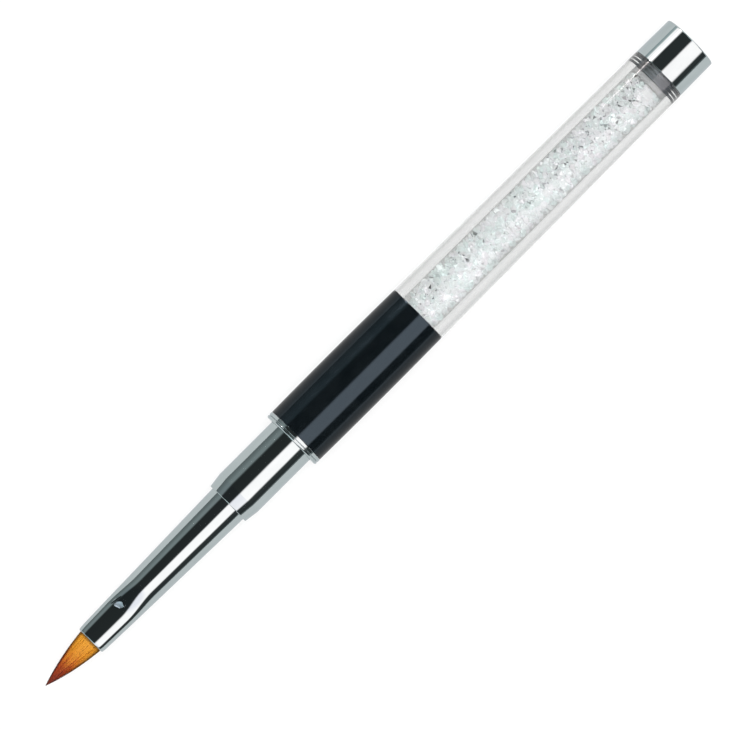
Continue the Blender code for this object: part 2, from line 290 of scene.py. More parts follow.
def core_alloy():
    """Pale bare metal with turning lines."""
    made = Shader("core_alloy", Metallic=1.0)
    grain = made.noise(0.05 * MM, detail=2.0, stretch=(1.0, 20.0, 20.0))
    made.feed("Base Color", made.ramp(grain, [(0.3, (0.52, 0.52, 0.50)), (0.7, (0.70, 0.70, 0.68))]))
    made.feed("Roughness", made.scaled(grain, 0.28, 0.45))
    made.bump(grain, 0.004 * MM)
    return made.material


def gloss_black():
    """Black moulded plastic with a faint flow ripple and fine handling marks."""
    made = Shader("gloss_black", IOR=1.49, Specular_Tint=(0.585, 0.82, 1.0, 1.0))
    cloud = made.noise(1.8 * MM, detail=4.0)
    marks = made.noise(0.12 * MM, detail=2.0, stretch=(10.0, 1.0, 1.0))
    black = made.ramp(cloud, [(0.3, (0.0028, 0.0045, 0.0058)), (0.7, (0.0058, 0.0081, 0.0094))])
    made.feed("Base Color", black)
    made.feed("Roughness", made.scaled(made.maths("MULTIPLY", cloud, marks), 0.045, 0.12, 0.1, 0.45))
    facing = made.add("ShaderNodeLayerWeight", Blend=0.5).outputs["Facing"]
    gloss = [(0.0, 0.565), (0.22, 0.545), (0.36, 0.18), (0.50, 0.12), (0.75, 0.05), (1.0, 0.03)]
    made.feed("Specular IOR Level", made.grey_ramp(facing, gloss))
    made.bump(made.noise(1.1 * MM, detail=2.0, stretch=(3.0, 1.0, 1.0)), 0.003 * MM)
    return made.material


def clear_acrylic():
    """Clear moulded tube, a little greyer where it is seen edge on."""
    made = Shader("clear_acrylic", Transmission_Weight=1.0, IOR=1.49, Specular_Tint=(0.90, 0.905, 0.90, 1.0))
    cloud = made.noise(3.0 * MM, detail=2.0, stretch=(3.0, 1.0, 1.0))
    glass = made.ramp(cloud, [(0.3, (0.705, 0.715, 0.705)), (0.7, (0.735, 0.735, 0.735))])
    facing = made.add("ShaderNodeLayerWeight", Blend=0.5).outputs["Facing"]
    rim = made.ramp(facing, [(0.48, (1.0, 1.0, 1.0)), (0.62, (0.80, 0.81, 0.80)), (0.78, (0.52, 0.53, 0.52))])
    made.feed("Base Color", made.multiplied(glass, rim))
    made.feed("Roughness", made.scaled(cloud, 0.0, 0.02, 0.4, 0.7))
    made.bump(made.noise(1.4 * MM, detail=2.0, stretch=(8.0, 1.0, 1.0)), 0.0015 * MM)
    return made.material


def cut_stones():
    """Cut clear stones: facet is a painted reflection, the light that a facet seems to send back, tint the
    cast of its stone.

    lit is painted light and shade: it rises from 0 to 1 out of the black sleeve's painted shade, and on to 2
    at the tail's +Y side, where the stones are painted to sparkle more. play is how much painted sparkle the
    other stones may have.
    """
    made = Shader("cut_stones", Transmission_Weight=0.2, IOR=1.6, Roughness=0.06)
    cast = made.ramp(
        made.attribute("tint"),
        [(0.0, (0.90, 0.97, 0.96)), (0.5, (0.972, 0.99, 0.993)), (1.0, (0.995, 0.975, 1.0))],
    )
    facet = made.attribute("facet")
    sparkling = [(0.0, 0.04), (0.05, 0.30), (0.14, 0.80), (0.5, 0.92), (1.0, 1.0)]
    lively = made.grey_ramp(facet, sparkling)
    even = made.grey_ramp(facet, [(0.0, 0.70), (0.06, 0.90), (1.0, 0.97)])
    patch = made.scaled(made.noise(2.6 * MM, detail=2.0), 0.05, 1.0, 0.44, 0.60)
    patch = made.maths("MULTIPLY", patch, made.attribute("play"))
    patch = made.maths("ADD", patch, made.scaled(made.attribute("lit"), 0.0, 0.65, 1.0, 2.0))
    light = made.add("ShaderNodeMixRGB", Color1=even, Color2=lively, Fac=patch)
    # Painted shade: stones in the black sleeve's shade are darker.
    shade = made.ramp(made.attribute("lit"), [(0.0, (0.78, 0.80, 0.81)), (1.0, (1.0, 1.0, 1.0))])
    shaded = made.multiplied(made.multiplied(cast, light.outputs["Color"]), shade)
    made.feed("Base Color", shaded)
    # The stones glow with their own painted colour, more on the brightest facets: painted glints, not a lamp.
    made.feed("Emission Color", shaded)
    made.feed("Emission Strength", made.scaled(facet, 0.20, 0.50, 0.93, 0.96))
    made.bump(made.noise(0.25 * MM, detail=2.0), 0.01 * MM)
    return made.material


def set_resin():
    """Clear set adhesive, a little cloudy."""
    made = Shader("set_resin", Transmission_Weight=0.8, IOR=1.5)
    cloud = made.noise(0.5 * MM, detail=4.0)
    made.feed("Base Color", made.ramp(cloud, [(0.3, (0.84, 0.85, 0.86)), (0.7, (0.94, 0.94, 0.95))]))
    made.feed("Roughness", made.scaled(cloud, 0.05, 0.3))
    made.bump(cloud, 0.01 * MM)
    return made.material


def binding_thread():
    """Pale brown waxed thread."""
    made = Shader("binding_thread", Roughness=0.8, Sheen_Weight=0.3)
    fibre = made.noise(0.05 * MM, detail=3.0, stretch=(1.0, 5.0, 5.0))
    made.feed("Base Color", made.ramp(fibre, [(0.3, (0.30, 0.24, 0.16)), (0.7, (0.62, 0.54, 0.40))]))
    made.bump(fibre, 0.02 * MM)
    return made.material


def sable_hair():
    """Orange at the ferrule, dark red-brown at the tip; tint shifts the change from hair to hair.

    Painted shade makes it darker inside the mouth and along the two narrow edges of the flattened tuft.
    """
    made = Shader("sable_hair", IOR=1.5, Specular_IOR_Level=0.15, Specular_Tint=(1.0, 0.85, 0.7, 1.0))
    along = made.attribute("along")
    tint = made.attribute("tint")
    streak = made.noise(0.16 * MM, detail=2.0, stretch=(20.0, 1.0, 1.0))
    shift = made.maths("ADD", made.scaled(tint, -0.24, 0.20), made.scaled(streak, -0.05, 0.05, 0.3, 0.7))
    place = made.maths("ADD", along, shift)
    stops = [
        (0.0, (0.65, 0.284, 0.024)),
        (0.28, (0.62, 0.240, 0.019)),
        (0.44, (0.51, 0.140, 0.016)),
        (0.58, (0.34, 0.052, 0.013)),
        (0.76, (0.21, 0.026, 0.012)),
        (0.96, (0.060, 0.020, 0.014)),
    ]
    # Painted shade: darker where the hair enters the mouth and along the tuft's two narrow edges.
    inner = made.scaled(along, 0.0, 1.0, 0.0, 0.05)
    outer = made.scaled(made.attribute("edge"), 1.0, 0.0, 0.74, 0.97)
    unshaded = made.maths("MULTIPLY", inner, outer)
    painted_shade = made.ramp(unshaded, [(0.0, (0.22, 0.22, 0.24)), (1.0, (1.0, 1.0, 1.0))])
    made.feed("Base Color", made.multiplied(made.ramp(place, stops), painted_shade))
    made.feed("Roughness", made.scaled(tint, 0.36, 0.52))
    return made.material


# ---------------------------------------------------------------- turned pieces


def between(low, high, share):
    return low + (high - low) * share


def smoothstep(share):
    share = np.clip(share, 0.0, 1.0)
    return share * share * (3.0 - 2.0 * share)


def filleted(points, steps=6):
    """Rounds the corners of an outline of (x, radius, fillet) points, and drops the fillets."""
    made = []
    count = len(points)
    for i, (x, r, fillet) in enumerate(points):
        here = Vector((x, r))
        if not fillet or i in (0, count - 1):
            made.append((x, r))
            continue
        back = (Vector(points[i - 1][:2]) - here).normalized()
        ahead = (Vector(points[i + 1][:2]) - here).normalized()
        half = back.angle(ahead) / 2.0
        if half > NEARLY_STRAIGHT:
            made.append((x, r))
            continue
        centre = here + (back + ahead).normalized() * (fillet / math.sin(half))
        first = here + back * (fillet / math.tan(half)) - centre
        last = here + ahead * (fillet / math.tan(half)) - centre
        turn = first.angle_signed(last)
        for step in range(steps + 1):
            angle = -turn * step / steps
            cos, sin = math.cos(angle), math.sin(angle)
            offset = Vector((first.x * cos - first.y * sin, first.x * sin + first.y * cos))
            made.append(tuple(centre + offset))
    return made


def supported(outline):
    """Adds points close to the ends of long runs, so that shading bends only at the corners."""
    long_run, from_end = 0.15 * MM, 0.012 * MM
    made = [outline[0]]
    for here, there in zip(outline, outline[1:]):
        length = math.dist(here, there)
        if length > long_run:
            for share in (from_end / length, 1.0 - from_end / length):
                made.append(tuple(between(a, b, share) for a, b in zip(here, there)))
        made.append(there)
    return made


def curve(radius_at, start, end, steps):
    """Outline points along a surface whose radius is a function of x."""
    return [(x, radius_at(x), 0.0) for x in np.linspace(start, end, steps + 1)]


def add_object(name, verts, faces, material, smooth=True):
    mesh = bpy.data.meshes.new(name)
    mesh.from_pydata(verts, [], faces)
    mesh.materials.append(material)
    obj = bpy.data.objects.new(name, mesh)
    bpy.context.scene.collection.objects.link(obj)
    if smooth:
        mesh.shade_smooth()
    return obj


def spun(outline, closed):
    """Points and faces of an outline spun round the X axis; closed joins its last ring to its first."""
    angles = np.linspace(0.0, 2.0 * math.pi, SEGMENTS, endpoint=False)
    verts, rings, faces = [], [], []
    for x, r in outline:
        if r == 0.0:
            rings.append([len(verts)] * SEGMENTS)
            verts.append((x, 0.0, 0.0))
        else:
            rings.append(list(range(len(verts), len(verts) + SEGMENTS)))
            verts.extend((x, r * math.sin(a), r * math.cos(a)) for a in angles)
    pairs = list(zip(rings, rings[1:]))
    if closed:
        pairs.append((rings[-1], rings[0]))
    for near, far in pairs:
        for i in range(SEGMENTS):
            j = (i + 1) % SEGMENTS
            corners = [near[i], near[j], far[j], far[i]]
            faces.append(list(dict.fromkeys(corners)))
    return np.array(verts), faces


def turn_outwards(mesh):
    """Turns every face outwards."""
    shape = bmesh.new()
    shape.from_mesh(mesh)
    bmesh.ops.recalc_face_normals(shape, faces=shape.faces)
    shape.to_mesh(mesh)
    shape.free()


def turned(name, outline, material, replaced, reshape=None, mark=None):
    """A piece spun from an outline that is closed on itself unless both its ends are on the axis.

    reshape moves the points of the round piece, and mark says how frosted each of them is; where it is
    frosted the plating is also painted lighter, as painted light.
    """
    solid = outline[0][1] == 0.0 and outline[-1][1] == 0.0
    points, faces = spun(supported(outline), closed=not solid)
    frost_and_painted_light = mark(points) if mark else np.zeros(len(points))
    if reshape:
        points = reshape(points)
    points[:, 2] += AXIS_Z
    obj = add_object(name, points.tolist(), faces, material)
    obj.data.attributes.new("frost_and_painted_light", "FLOAT", "POINT").data.foreach_set("value", frost_and_painted_light)
    turn_outwards(obj.data)
    obj.data.shade_smooth()
    obj.data.set_sharp_from_angle(angle=math.radians(40.0))
    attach(obj, HANDLE)
    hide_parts(replaced)


def crimp_share(x):
    """1 where the ferrule is pressed flat, 0 where it is round."""
    return 1.0 - smoothstep((x - MOUTH_X - CRIMP_LENGTH) / CRIMP_BLEND)


def dimple_distance(points):
    """Distance from the staking dimple's middle: 1 at its edge, which is uneven, short and leaning."""
    shortness, lean = 0.84, 0.32
    across = (points[:, 1] - DIMPLE_Y) / DIMPLE_R
    along = (points[:, 0] - DIMPLE_X) / (shortness * DIMPLE_R) + lean * across
    turn = np.arctan2(across, along)
    uneven = 1.0 + 0.09 * np.sin(3.0 * turn + 0.6) + 0.05 * np.sin(5.0 * turn + 2.0)
    return np.where(points[:, 2] > 0.0, np.hypot(along, across) / uneven, 9.0)


def dimple_frost(points):
    """The punch leaves the bottom of the dimple matt, and the plating there is painted lighter: painted
    light.
    """
    return smoothstep((1.08 - dimple_distance(points)) / 0.25)


def crease(x, y, start, end):
    """A thin ridge, 1 high, between two (x, y) points in millimetres from the dimple's middle."""
    half_width = 0.07 * MM
    start, end = np.array(start) * MM, np.array(end) * MM
    run = end - start
    place = np.stack([x - DIMPLE_X, y - DIMPLE_Y], axis=-1) - start
    share = np.clip(place @ run / (run @ run), 0.0, 1.0)
    gap = np.linalg.norm(place - share[:, None] * run, axis=1)
    return np.exp(-((gap / half_width) ** 2)) * np.sin(math.pi * np.clip(share, 0.04, 0.96)) ** 0.5


def crimped(points):
    """Round sections become flattened ones near the mouth, and the staking punch leaves its dent."""
    x, y, z = points.T
    share = crimp_share(x)
    distance = dimple_distance(points)
    radius = np.maximum(np.hypot(y, z), 1e-9)
    power = between(2.0, CRIMP_SQUARENESS, share)
    reach = (np.abs(y / radius) ** power + np.abs(z / radius) ** power) ** (-1.0 / power)
    y = y * reach
    z = z * reach * between(1.0, CRIMP_DEPTH, share)
    dent = np.clip(1.0 - distance**2, 0.0, None) ** 1.3
    folds = sum(height * crease(x, y, start, end) for height, start, end in FOLDS)
    z = z - DIMPLE_DEPTH * dent + np.where(z > 0.0, FOLD_HEIGHT * folds, 0.0)
    turn = CRIMP_TURN * share
    y, z = y * np.cos(turn) + z * np.sin(turn), z * np.cos(turn) - y * np.sin(turn)
    return np.stack([x, y, z], axis=1)


def ferrule_radius(x):
    """The ferrule widens from its mouth to the collar, in two tapers; its rim is drawn in."""
    front = between(MOUTH_R, FERRULE_MID_R, (x - MOUTH_X) / FERRULE_MID)
    middle = MOUTH_X + FERRULE_MID
    rear = between(FERRULE_MID_R, FERRULE_REAR_R, min((x - middle) / (COLLAR_X - middle), 1.0))
    rim_length, rim_depth = 0.9 * MM, 0.06 * MM
    rim = max(1.0 - (x - MOUTH_X) / rim_length, 0.0)
    return (front if x < middle else rear) - rim_depth * rim * rim


def ferrule_bore(x):
    return ferrule_radius(x) - FERRULE_WALL


def make_ferrule(material):
    """A long tube with a rolled rim; the front, pressed and dented part has the closest rings."""
    front = MOUTH_X + 0.3 * MM
    dense_end = MOUTH_X + 7.2 * MM
    blend_end = MOUTH_X + CRIMP_LENGTH + CRIMP_BLEND
    outline = [(front, ferrule_bore(front), 0.0), (MOUTH_X, ferrule_bore(MOUTH_X), 0.03 * MM)]
    outline += [(MOUTH_X, ferrule_radius(MOUTH_X), 0.19 * MM)]
    outline += curve(ferrule_radius, front, dense_end, 140)
    outline += curve(ferrule_radius, dense_end, blend_end, 24)[1:]
    outline += curve(ferrule_radius, blend_end, FERRULE_REAR_X, 24)[1:]
    outline += curve(ferrule_bore, FERRULE_REAR_X, blend_end, 4)
    outline += curve(ferrule_bore, blend_end, dense_end, 10)[1:]
    outline += curve(ferrule_bore, dense_end, front, 16)[1:-1]
    outline = filleted(outline, 8)
    turned("ferrule_plated", outline, material, "ferrule", crimped, dimple_frost)


def make_collar(material):
    """A wide seat with a tapered lead-in, and a spigot that runs back into the sleeve."""
    bore = FERRULE_REAR_R + CLEARANCE
    seat = RING_X + 0.25 * MM
    outline = [(SPIGOT_REAR_X, bore, 0.0), (COLLAR_X + 0.3 * MM, bore, 0.0)]
    outline += [(COLLAR_X, bore, 0.04 * MM), (COLLAR_X, LIP_R, 0.12 * MM)]
    outline += [(COLLAR_X + LEAD_IN, COLLAR_R, 0.12 * MM), (seat, COLLAR_R, 0.03 * MM)]
    outline += [(seat, SPIGOT_R, 0.0), (SPIGOT_REAR_X, SPIGOT_R, 0.0)]
    turned("collar_plated", filleted(outline), material, "collar")


def make_ring(material):
    """Rounded front lip, dark groove and round bead."""
    bore, seat = SLEEVE_BORE_R, 3.44 * MM
    step = RING_X + 0.3 * MM
    lip = RING_X + 0.36 * MM
    groove = RING_R - 0.14 * MM
    outline = [(RING_REAR_X, bore, 0.0), (step, bore, 0.0), (step, seat, 0.0), (RING_X, seat, 0.0)]
    outline += [(RING_X, RING_R - 0.01 * MM, 0.24 * MM), (lip, RING_R - 0.01 * MM, 0.04 * MM)]
    outline += [(lip + 0.03 * MM, groove, 0.01 * MM), (lip + 0.07 * MM, groove, 0.01 * MM)]
    outline += [(lip + 0.10 * MM, RING_R, 0.08 * MM), (RING_REAR_X, RING_R, 0.12 * MM)]
    turned("flange_ring_plated", filleted(outline, 10), material, "flange_ring")


def sleeve_radius(x):
    """The sleeve is a little barrelled."""
    share = (x - SLEEVE_X) / (SLEEVE_REAR_X - SLEEVE_X)
    return SLEEVE_END_R + (SLEEVE_R - SLEEVE_END_R) * 4.0 * share * (1.0 - share)


def make_sleeve(material):
    """A sleeve with a wider bore behind the collar's spigot, where the tube's nose goes in."""
    edge = 0.07 * MM
    step = SPIGOT_REAR_X + CLEARANCE
    rear_bore = NOSE_R + CLEARANCE
    outline = [(SLEEVE_X, SLEEVE_BORE_R, 0.0), (SLEEVE_X, sleeve_radius(SLEEVE_X), edge)]
    outline += curve(sleeve_radius, SLEEVE_X + 2 * edge, SLEEVE_REAR_X - 2 * edge, 40)
    outline += [(SLEEVE_REAR_X, sleeve_radius(SLEEVE_REAR_X), edge)]
    outline += [(SLEEVE_REAR_X, rear_bore, 0.0), (step, rear_bore, 0.0)]
    outline += [(step, SLEEVE_BORE_R, 0.0)]
    turned("grip_sleeve_gloss", filleted(outline), material, "grip_sleeve")


def tube_radius(x):
    """The tube tapers towards the tail."""
    return between(TUBE_R, TUBE_REAR_R, (x - SLEEVE_REAR_X) / (TUBE_REAR_X - SLEEVE_REAR_X))


def make_tube(material):
    """A thick-walled tube with a turned-down nose inside the sleeve."""
    edge = 0.12 * MM
    front = SLEEVE_REAR_X + 0.04 * MM
    outline = [(NOSE_X, BORE_R, 0.0), (NOSE_X, NOSE_R, 0.0), (front, NOSE_R, 0.0)]
    outline += [(front, TUBE_R, edge)]
    outline += curve(tube_radius, front + 2 * edge, TUBE_REAR_X - 2 * edge, 60)
    outline += [(TUBE_REAR_X, TUBE_REAR_R, edge), (TUBE_REAR_X, BORE_R, 0.0)]
    turned("acrylic_tube_clear", filleted(outline), material, "acrylic_tube")


def make_plug_adhesive(material):
    """A clear disc with a hollow meniscus towards the stones."""
    outline = [(GLUE_X + 0.22 * MM, 0.0, 0.0)]
    outline += [(GLUE_X + 0.16 * MM, GLUE_R * 0.55, 0.0), (GLUE_X, GLUE_R, 0.0)]
    outline += [(GLUE_REAR_X, GLUE_R, 0.0), (GLUE_REAR_X, 0.0, 0.0)]
    turned("plug_adhesive_clear", filleted(outline), material, "plug_adhesive")


def make_end_plug(material):
    """Three ribs wetted to the bore by adhesive, and the stud in the cap."""
    ribs, groove, crest = 3, 0.06 * MM, BORE_R + 0.01 * MM
    rear = TUBE_REAR_X
    pitch = (rear - PLUG_X) / ribs
    outline = [(PLUG_X, 0.0, 0.0)]
    for rib in range(ribs):
        start = PLUG_X + pitch * rib
        outline += [(start, crest - groove, 0.0), (start + pitch * 0.10, crest, 0.03 * MM)]
        outline += [(start + pitch * 0.78, crest, 0.03 * MM), (start + pitch * 0.86, crest - groove, 0.0)]
    outline += [(rear + 0.01 * MM, crest - groove, 0.0), (rear + 0.01 * MM, STUD_R, 0.0)]
    outline += [(STUD_REAR_X, STUD_R, 0.2 * MM), (STUD_REAR_X, 0.0, 0.0)]
    turned("end_plug_ribbed", filleted(outline), material, "end_plug")


def make_cap(material):
    """A cap with a rounded edge, a flat end and a blind bore for the plug's stud."""
    edge = 0.18 * MM
    bottom = STUD_REAR_X + CLEARANCE
    bore = STUD_R + CLEARANCE
    outline = [(bottom, 0.0, 0.0), (bottom, bore, 0.2 * MM), (CAP_X, bore, 0.0)]
    outline += [(CAP_X, CAP_R, 0.07 * MM)]
    outline += [(END_X, CAP_REAR_R, edge), (END_X, CAP_REAR_R * 0.5, 0.0), (END_X, 0.0, 0.0)]
    turned("end_cap_plated", filleted(outline, 12), material, "end_cap")


# ---------------------------------------------------------------- stones


def stone_shape():
    """A round brilliant of diameter 1: table, crown, thin girdle and pavilion."""
    sides = 8
    rings = []
    for radius, height, phase in ((0.28, 0.17, 0.5), (0.5, 0.02, 0.0), (0.5, -0.02, 0.0)):
        ring = [2.0 * math.pi * (i + phase) / sides for i in range(sides)]
        rings += [(radius * math.cos(a), radius * math.sin(a), height) for a in ring]
    verts = rings + [(0.0, 0.0, -0.42)]
    table, girdle, low, culet = 0, sides, 2 * sides, 3 * sides
    faces = [list(range(sides))]
    for i in range(sides):
        j = (i + 1) % sides
        faces.append([table + i, girdle + i, girdle + j])
        faces.append([table + i, girdle + j, table + j])
        faces.append([girdle + i, low + i, low + j, girdle + j])
        faces.append([low + i, culet, low + j])
    return np.array(verts), faces


def packed_places(count, radius, start, end, spacing):
    """Spreads points evenly through a cylinder by pushing near neighbours apart."""
    dice = np.random.default_rng(11)
    turn = dice.uniform(0.0, 2.0 * math.pi, count)
    out = radius * np.sqrt(dice.uniform(0.0, 1.0, count))
    points = np.stack([dice.uniform(start, end, count), out * np.cos(turn), out * np.sin(turn)], axis=1)
    for _ in range(60):
        gaps = points[:, None, :] - points[None, :, :]
        away = np.linalg.norm(gaps, axis=2) + np.eye(count)
        push = np.clip(spacing - away, 0.0, None) * (1.0 - np.eye(count))
        points += 0.3 * (gaps / away[:, :, None] * push[:, :, None]).sum(axis=1)
        reach = np.linalg.norm(points[:, 1:], axis=1, keepdims=True)
        points[:, 1:] *= np.minimum(1.0, radius / np.maximum(reach, 1e-9))
        points[:, 0] = np.clip(points[:, 0], start, end)
    return points


def turn_matrix(quaternion):
    """The rotation of a quaternion of any length."""
    w, x, y, z = quaternion / np.linalg.norm(quaternion)
    return np.array(
        [
            [1 - 2 * (y * y + z * z), 2 * (x * y - z * w), 2 * (x * z + y * w)],
            [2 * (x * y + z * w), 1 - 2 * (x * x + z * z), 2 * (y * z - x * w)],
            [2 * (x * z - y * w), 2 * (y * z + x * w), 1 - 2 * (x * x + y * y)],
        ]
    )


def stone_light(place):
    """Painted light for a stone: how far it is out of the sleeve's painted shade and near the tail, and how
    much painted sparkle it may have.
    """
    out_of_shade = smoothstep((place[0] - STONES_X) / (4.5 * MM))
    tailward = smoothstep((place[0] - STONES_X - 24.0 * MM) / (12.0 * MM))
    sideward = smoothstep((place[1] + 1.3 * MM) / (1.5 * MM))
    return out_of_shade + tailward * sideward, between(0.35, 1.0, sideward)


def stone_places():
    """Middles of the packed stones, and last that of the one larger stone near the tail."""
    count, spacing, margin = 1600, 0.92 * MM, 0.50 * MM
    rear = STONES_REAR_X - 0.2 * MM
    places = packed_places(count, BORE_R - margin, STONES_X + margin, rear, spacing)
    big_place = np.array([STONES_REAR_X - 0.75 * MM, -0.75 * MM, 2.08 * MM])
    apart = np.linalg.norm(places - big_place, axis=1) > 0.85 * MM
    return np.vstack([places[apart], big_place])


def inside_bore(points):
    """Draws one stone's points in until they all lie in the tube's bore."""
    reach = np.linalg.norm(points[:, 1:], axis=1).max()
    points[:, 1:] *= min(1.0, (BORE_R - 0.01 * MM) / reach)
    points[:, 0] = np.clip(points[:, 0], STONES_X, STONES_REAR_X)
    return points


def make_stones(material):
    """Loose cut stones, packed at random, each facet painted with its own share of reflected light."""
    dice = np.random.default_rng(5)
    shape, stone_faces = stone_shape()
    per_stone = len(stone_faces)
    places = stone_places()
    verts, faces, tints, facets, lit, play = [], [], [], [], [], []
    for index, place in enumerate(places):
        big = index == len(places) - 1
        size = dice.uniform(0.86, 1.04) * MM
        spin = turn_matrix(dice.normal(0.0, 1.0, 4))
        if big:
            size, spin = 1.42 * MM, turn_matrix([1.0, 0.05, -0.04, 0.2])
        first = len(verts)
        verts.extend(inside_bore((shape * size) @ spin.T + place).tolist())
        faces.extend([[first + corner for corner in face] for face in stone_faces])
        tints.extend([0.7 if big else dice.random()] * per_stone)
        # Painted reflection: each facet gets its own brightness, shifted a little for the whole stone.
        bright = dice.uniform(-0.12, 0.12)
        facets.extend(np.clip(dice.uniform(0.0, 1.0, per_stone) + bright, 0.0, 1.0))
        light, sparkle = stone_light(place)
        lit.extend([light] * per_stone)
        play.extend([sparkle] * per_stone)
    points = np.array(verts)
    points[:, 2] += AXIS_Z
    stones = add_object("cut_stones_fill", points.tolist(), faces, material, smooth=False)
    for label, values in (("tint", tints), ("facet", facets), ("lit", lit), ("play", play)):
        stones.data.attributes.new(label, "FLOAT", "FACE").data.foreach_set("value", values)
    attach(stones, HANDLE)
    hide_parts("crystal_fill")


# ---------------------------------------------------------------- hair


def tuft_radius(distance):
    """Half width of the tuft at a distance from its tip."""
    share = np.clip(distance / HAIR_LENGTH, 1e-6, 1.0)
    return HAIR_R * share ** (0.82 - 0.33 * share)


def tuft_point(distance, out, angle):
    """A point of the tuft: out is 0 on its axis and 1 on its skin; the section is flattened."""
    share = np.clip(distance / HAIR_LENGTH, 0.0, 1.0)
    power = between(2.0, CRIMP_SQUARENESS, share)
    side, up = np.sin(angle), np.cos(angle)
    reach = (np.abs(side) ** power + np.abs(up) ** power) ** (-1.0 / power)
    radius = tuft_radius(distance) * out * reach
    flatness = between(TIP_FLATNESS, CRIMP_DEPTH, share)
    return np.stack([TIP_X + distance, radius * side, radius * up * flatness], axis=-1)


def add_hair(name, points, faces, along, tint, material):
    """A hair piece that runs from inside the ferrule's mouth towards the tip."""
    points = points.copy()
    points[:, 2] += AXIS_Z
    obj = add_object(name, points.tolist(), faces, material)
    # edge runs to 1 at the tuft's narrow sides, where the material paints shade.
    edge = np.abs(points[:, 1]) / np.maximum(tuft_radius(points[:, 0] - TIP_X), 0.05 * MM)
    for label, values in (("along", along), ("tint", tint), ("edge", edge)):
        attribute = obj.data.attributes.new(label, "FLOAT", "POINT")
        attribute.data.foreach_set("value", np.asarray(values, np.float32))
    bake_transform(obj)
    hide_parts("hair_tuft")


def strand(first, middle, radius, twist):
    """One hair of three-sided sections along middle, closed at both ends; first numbers its points."""
    sides = 3
    verts, faces = [], []
    for point, size in zip(middle, radius):
        for side in range(sides):
            turn = 2.0 * math.pi * side / sides + twist
            verts.append(point + np.array([0.0, math.sin(turn), math.cos(turn)]) * size)
    for step in range(len(middle) - 1):
        near, far = first + step * sides, first + (step + 1) * sides
        for side in range(sides):
            other = (side + 1) % sides
            faces.append([near + side, near + other, far + other, far + side])
    faces.append([first + side for side in range(sides)][::-1])
    last = first + (len(middle) - 1) * sides
    faces.append([last + side for side in range(sides)])
    return verts, faces


def make_hair(material):
    """Single hairs, each tapering to its own tip, so that fewer and finer ones reach the point."""
    count, steps = 1500, 14
    dice = np.random.default_rng(3)
    order = np.arange(count)
    out = np.sqrt((order + 0.5) / count)
    angle = order * math.pi * (3.0 - math.sqrt(5.0)) + dice.normal(0.0, 0.05, count)
    left = dice.uniform(0.0, 1.0, count) ** 1.3
    stop = HAIR_LENGTH * left * 0.92
    root = HAIR_LENGTH + ROOT_DEPTH
    thick = dice.uniform(0.040, 0.058, count) * MM
    wander = dice.normal(0.0, 0.03, (count, 2))
    clumps = np.sin(3.0 * angle + 5.0 * out) * np.sin(7.0 * angle + 1.3) * 0.5 + 0.5
    tint = between(dice.uniform(0.0, 1.0, count), clumps, 0.55)

    verts, along, tints, faces = [], [], [], []
    share = np.linspace(0.0, 1.0, steps + 1)
    for i in range(count):
        distance = between(root, stop[i], share)
        skin = np.clip(out[i] * (1.0 + wander[i, 0] * share), 0.0, 1.03)
        middle = tuft_point(distance, skin, angle[i] + wander[i, 1] * share)
        radius = thick[i] * (1.0 - 0.93 * share**2.2)
        hair_verts, hair_faces = strand(len(verts), middle, radius, angle[i])
        verts += hair_verts
        faces += hair_faces
        along.extend(np.repeat(1.0 - distance / HAIR_LENGTH, len(hair_verts) // len(middle)))
        tints.extend([tint[i]] * len(hair_verts))
    add_hair("tuft_hairs", np.array(verts), faces, along, tints, material)


def make_tuft_heart(material):
    """The closed mass of hair under the outer hairs, which lie half sunk in it near the mouth."""
    rings, sides = 40, 48
    distances = HAIR_LENGTH * np.linspace(0.02, 1.0, rings) ** 1.2
    distances = np.append(distances, HAIR_LENGTH + ROOT_DEPTH)
    angles = np.linspace(0.0, 2.0 * math.pi, sides, endpoint=False)
    verts = [tuft_point(np.array([HAIR_LENGTH * 0.012]), 0.0, np.zeros(1))[0]]
    for distance in distances:
        skin = between(0.945, 0.988, smoothstep((distance / HAIR_LENGTH - 0.35) / 0.4))
        verts.extend(tuft_point(np.full(sides, distance), skin, angles))
    verts.append(np.array([TIP_X + distances[-1], 0.0, 0.0]))
    faces = []
    for side in range(sides):
        other = (side + 1) % sides
        faces.append([0, 1 + side, 1 + other])
        for ring in range(len(distances) - 1):
            near, far = 1 + ring * sides, 1 + (ring + 1) * sides
            faces.append([near + side, far + side, far + other, near + other])
        last = 1 + (len(distances) - 1) * sides
        faces.append([last + side, len(verts) - 1, last + other])
    points = np.array(verts)
    along = 1.0 - (points[:, 0] - TIP_X) / HAIR_LENGTH
    ripple = 0.45 + 0.1 * np.sin(points[:, 1] / (0.11 * MM)) * np.cos(points[:, 2] / (0.13 * MM))
    add_hair("tuft_heart", points, faces, along, ripple, material)


# ---------------------------------------------------------------- studio


def make_floor():
    """A back-lit sheet: its own glow keeps the shadows on it faint, and the surround white."""
    made = Shader("pale_floor", Roughness=0.9, Specular_IOR_Level=0.0, Emission_Strength=0.78)
    cloud = made.noise(60 * MM, detail=2.0)
    made.feed("Base Color", made.ramp(cloud, [(0.3, (0.235, 0.235, 0.235)), (0.7, (0.245, 0.245, 0.245))]))
    made.feed("Emission Color", made.ramp(cloud, [(0.3, (0.99, 0.99, 0.99)), (0.7, (1.0, 1.0, 1.0))]))
    half = 4.0
    corners = [(-half, -half, 0), (half, -half, 0), (half, half, 0), (-half, half, 0)]
    add_object("floor", corners, [[0, 1, 2, 3]], made.material, smooth=False)


# The softboxes are a little warm, the flags and walls a little cyan.
SOFTBOX_TINT = (0.95, 0.858, 0.852)
WALL_TINT = (0.94, 1.07, 1.08)
SOFTBOX_LEVEL = 0.7
WHITE = (1.0, 1.0, 1.0, 1.0)
